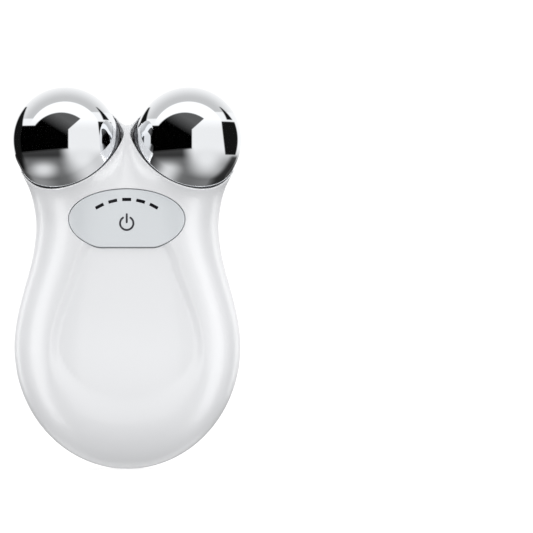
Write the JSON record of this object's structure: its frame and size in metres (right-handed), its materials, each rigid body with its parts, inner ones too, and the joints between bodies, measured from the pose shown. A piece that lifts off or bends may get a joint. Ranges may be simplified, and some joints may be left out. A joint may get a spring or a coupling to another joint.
{
  "type": "facial toning device",
  "caption": "Handheld facial toning device with a palm-shaped body, chromed dome electrodes on splayed ears, and a press panel with indicator lights.",
  "frame": {"origin": "middle of the grip: on the parting plane of the two shells, centred left to right, at the widest section of the palm", "axes": "+Z along the body towards the electrodes, -Y out of the face with the control panel, +X to the right seen from that face"},
  "size_m": [0.069, 0.0419, 0.115],
  "materials": {
    "white_gloss": "glossy white moulded plastic",
    "panel_grey": "satin light grey",
    "window_dark": "smoked translucent inlay",
    "icon_dark": "dark inlay",
    "clear_guide": "clear moulded acrylic",
    "seal_rubber": "dark silicone",
    "chrome": "mirror-polished plating",
    "carrier_plastic": "dark moulded plastic",
    "frame_plastic": "natural moulded plastic",
    "steel": "zinc-plated screws",
    "brass": "tinned brass",
    "board_green": "solder mask",
    "component_black": "moulded packages",
    "lamp_white": "white lamp package",
    "cell_blue": "shrink-wrapped pouch cell",
    "foam": "adhesive foam",
    "lead_red": "silicone insulation"
  },
  "bodies": {
    "housing": {"front_shell": "white_gloss", "back_shell": "white_gloss", "panel_seal": "seal_rubber", "inner_frame": "frame_plastic", "frame_screws": "steel", "main_board": "board_green", "board_screws": "steel", "board_chips": "component_black", "indicator_lamps": "lamp_white", "power_switch": "steel", "buzzer": "component_black", "battery_cell": "cell_blue", "battery_pad": "foam", "battery_leads": "lead_red", "charge_socket": "steel", "charge_board": "board_green", "charge_leads": "lead_red", "electrode_cap_left": "chrome", "electrode_carrier_left": "carrier_plastic", "sealing_ring_left": "seal_rubber", "contact_tab_left": "brass", "electrode_screw_left": "steel", "electrode_lead_left": "lead_red", "electrode_cap_right": "chrome", "electrode_carrier_right": "carrier_plastic", "sealing_ring_right": "seal_rubber", "contact_tab_right": "brass", "electrode_screw_right": "steel", "electrode_lead_right": "lead_red"},
    "panel": {"control_panel": "panel_grey", "indicator_windows": "window_dark", "power_icon": "icon_dark", "light_guide": "clear_guide"},
    "plunger": {"switch_plunger": "component_black"}
  },
  "joints": [
    {"name": "panel_press", "type": "slide", "parent": "housing", "child": "panel", "axis": [0, 1, 0], "range_m": [0, 0.0004], "stiffness_N_per_m": 3000},
    {"name": "plunger_press", "type": "slide", "parent": "housing", "child": "plunger", "axis": [0, 1, 0], "range_m": [0, 0.0004]}
  ],
  "couplings": [
    {"joint": "plunger_press", "follows": "panel_press", "ratio": 1}
  ]
}
